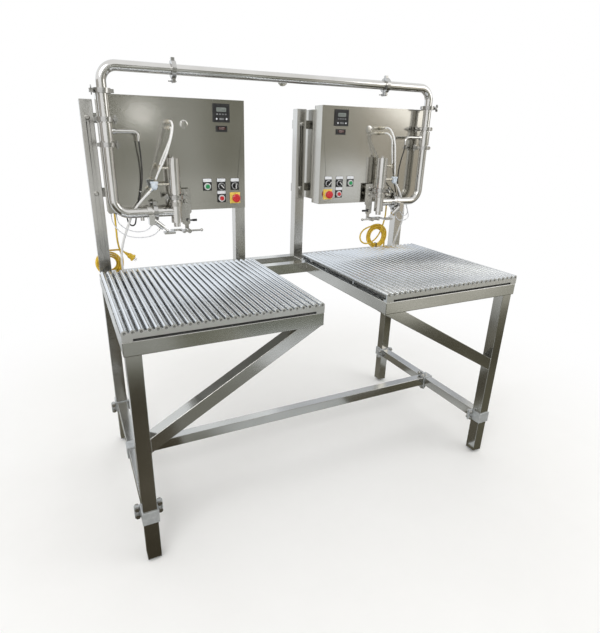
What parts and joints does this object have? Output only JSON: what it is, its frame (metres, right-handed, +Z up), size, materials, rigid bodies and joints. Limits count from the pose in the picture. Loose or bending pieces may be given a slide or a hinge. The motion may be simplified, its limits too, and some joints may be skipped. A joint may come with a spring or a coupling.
{
  "type": "bag-in-box filler",
  "caption": "Bag-in-box filling machine: tube frame with rod-grate tables, control enclosures, product pipes with flow meters, and air-operated filling heads with spout forks.",
  "frame": {"origin": "on the floor under the middle of the machine", "axes": "+X to the right seen from the front, +Y from the front to the back, +Z up"},
  "size_m": [1.726, 0.917, 1.771],
  "materials": {
    "frame_steel": "ground",
    "bright_steel": "polished",
    "sheet_steel": "satin",
    "black_plastic": "matte",
    "dark_plate": "matte",
    "yellow_plate": "matte",
    "yellow_cord": "matte",
    "black_cord": "matte",
    "white_tube": "satin",
    "seal_rubber": "matte",
    "red_plastic": "gloss",
    "green_plastic": "gloss",
    "chrome_trim": "polished",
    "brass_fitting": "satin",
    "valve_block": "satin",
    "nozzle_plastic": "matte"
  },
  "bodies": {
    "machine": {"front_legs": "frame_steel", "rear_posts": "frame_steel", "rear_rails": "frame_steel", "table_frames": "frame_steel", "braces": "frame_steel", "lower_side_rails": "frame_steel", "lower_stretcher": "frame_steel", "tube_clamps": "frame_steel", "mount_straps": "frame_steel", "clamp_cylinders": "frame_steel", "frame_bolts": "bright_steel", "manifold_pipe": "bright_steel", "upper_pipes": "bright_steel", "flow_meters": "bright_steel", "lower_pipes": "bright_steel", "tri_clamps": "bright_steel", "wing_nuts": "bright_steel", "valve_bodies": "bright_steel", "actuators": "bright_steel", "head_brackets": "bright_steel", "drip_trays": "sheet_steel", "enclosure_covers": "sheet_steel", "enclosure_backs": "sheet_steel", "leg_feet": "black_plastic", "panel_instruments": "black_plastic", "cable_glands": "black_plastic", "legend_plates": "dark_plate", "estop_plates": "yellow_plate", "panel_hardware": "chrome_trim", "solenoid_banks": "valve_block", "seals": "seal_rubber", "air_fittings": "brass_fitting", "air_tubes": "white_tube", "exhaust_hoses": "white_tube", "meter_cables": "black_cord", "left_power_lead": "yellow_cord", "left_lead_coil": "yellow_cord", "right_power_lead": "yellow_cord", "right_lead_coil": "yellow_cord", "lead_plugs": "yellow_cord"},
    "left_cap_lever": {"left_cap_lever": "black_plastic"},
    "left_clamp_rod": {"left_clamp_rod": "bright_steel"},
    "left_estop_head": {"left_estop_head": "red_plastic"},
    "left_fill_stem": {"left_fill_stem": "nozzle_plastic"},
    "left_grate": {"left_grate": "bright_steel"},
    "left_mode_selector": {"left_mode_selector": "black_plastic"},
    "left_pump_selector": {"left_pump_selector": "black_plastic"},
    "left_spout_fork": {"left_spout_fork": "bright_steel"},
    "left_start_button": {"left_start_button": "green_plastic"},
    "left_stop_button": {"left_stop_button": "red_plastic"},
    "right_cap_lever": {"right_cap_lever": "black_plastic"},
    "right_clamp_rod": {"right_clamp_rod": "bright_steel"},
    "right_estop_head": {"right_estop_head": "red_plastic"},
    "right_fill_stem": {"right_fill_stem": "nozzle_plastic"},
    "right_grate": {"right_grate": "bright_steel"},
    "right_mode_selector": {"right_mode_selector": "black_plastic"},
    "right_pump_selector": {"right_pump_selector": "black_plastic"},
    "right_spout_fork": {"right_spout_fork": "bright_steel"},
    "right_start_button": {"right_start_button": "green_plastic"},
    "right_stop_button": {"right_stop_button": "red_plastic"}
  },
  "joints": [
    {"name": "left_start_push", "type": "slide", "parent": "machine", "child": "left_start_button", "axis": [0, 1, 0], "range_m": [0, 0.004], "stiffness_N_per_m": 300, "springref_m": -0.003},
    {"name": "left_stop_push", "type": "slide", "parent": "machine", "child": "left_stop_button", "axis": [0, 1, 0], "range_m": [0, 0.004], "stiffness_N_per_m": 300, "springref_m": -0.003},
    {"name": "left_estop_push", "type": "slide", "parent": "machine", "child": "left_estop_head", "axis": [0, 1, 0], "range_m": [0, 0.006]},
    {"name": "left_mode_turn", "type": "hinge", "parent": "machine", "child": "left_mode_selector", "pos_m": [-0.303, 0.2228, 1.288], "axis": [0, 1, 0], "range_deg": [0, 90]},
    {"name": "left_pump_turn", "type": "hinge", "parent": "machine", "child": "left_pump_selector", "pos_m": [-0.24, 0.2228, 1.288], "axis": [0, 1, 0], "range_deg": [-45, 45]},
    {"name": "left_stem_slide", "type": "slide", "parent": "machine", "child": "left_fill_stem", "axis": [0, 0, -1], "range_m": [0, 0.009]},
    {"name": "left_fork_tilt", "type": "hinge", "parent": "machine", "child": "left_spout_fork", "pos_m": [-0.471, 0.182, 1.112], "axis": [0, -1, 0], "range_deg": [0, 10]},
    {"name": "left_rod_slide", "type": "slide", "parent": "machine", "child": "left_clamp_rod", "axis": [0.766, 0, -0.6428], "range_m": [0, 0.02]},
    {"name": "left_cap_swing", "type": "hinge", "parent": "machine", "child": "left_cap_lever", "pos_m": [-0.465, 0.194, 1.152], "axis": [0, -1, 0], "range_deg": [0, 45]},
    {"name": "left_grate_lift", "type": "slide", "parent": "machine", "child": "left_grate", "axis": [0, 0, 1], "range_m": [0, 0.09]},
    {"name": "right_start_push", "type": "slide", "parent": "machine", "child": "right_start_button", "axis": [0, 1, 0], "range_m": [0, 0.004], "stiffness_N_per_m": 300, "springref_m": -0.003},
    {"name": "right_stop_push", "type": "slide", "parent": "machine", "child": "right_stop_button", "axis": [0, 1, 0], "range_m": [0, 0.004], "stiffness_N_per_m": 300, "springref_m": -0.003},
    {"name": "right_estop_push", "type": "slide", "parent": "machine", "child": "right_estop_head", "axis": [0, 1, 0], "range_m": [0, 0.006]},
    {"name": "right_mode_turn", "type": "hinge", "parent": "machine", "child": "right_mode_selector", "pos_m": [0.303, 0.2228, 1.288], "axis": [0, 1, 0], "range_deg": [0, 90]},
    {"name": "right_pump_turn", "type": "hinge", "parent": "machine", "child": "right_pump_selector", "pos_m": [0.24, 0.2228, 1.288], "axis": [0, 1, 0], "range_deg": [-90, 0]},
    {"name": "right_stem_slide", "type": "slide", "parent": "machine", "child": "right_fill_stem", "axis": [0, 0, -1], "range_m": [0, 0.009]},
    {"name": "right_fork_tilt", "type": "hinge", "parent": "machine", "child": "right_spout_fork", "pos_m": [0.471, 0.182, 1.112], "axis": [0, 1, 0], "range_deg": [0, 10]},
    {"name": "right_rod_slide", "type": "slide", "parent": "machine", "child": "right_clamp_rod", "axis": [-0.766, 0, -0.6428], "range_m": [0, 0.02]},
    {"name": "right_cap_swing", "type": "hinge", "parent": "machine", "child": "right_cap_lever", "pos_m": [0.465, 0.194, 1.152], "axis": [0, 1, 0], "range_deg": [0, 45]},
    {"name": "right_grate_lift", "type": "slide", "parent": "machine", "child": "right_grate", "axis": [0, 0, 1], "range_m": [0, 0.09]}
  ],
  "couplings": [
    {"joint": "left_rod_slide", "follows": "left_fork_tilt", "m_per_rad": 0.1145},
    {"joint": "right_rod_slide", "follows": "right_fork_tilt", "m_per_rad": 0.1145}
  ]
}
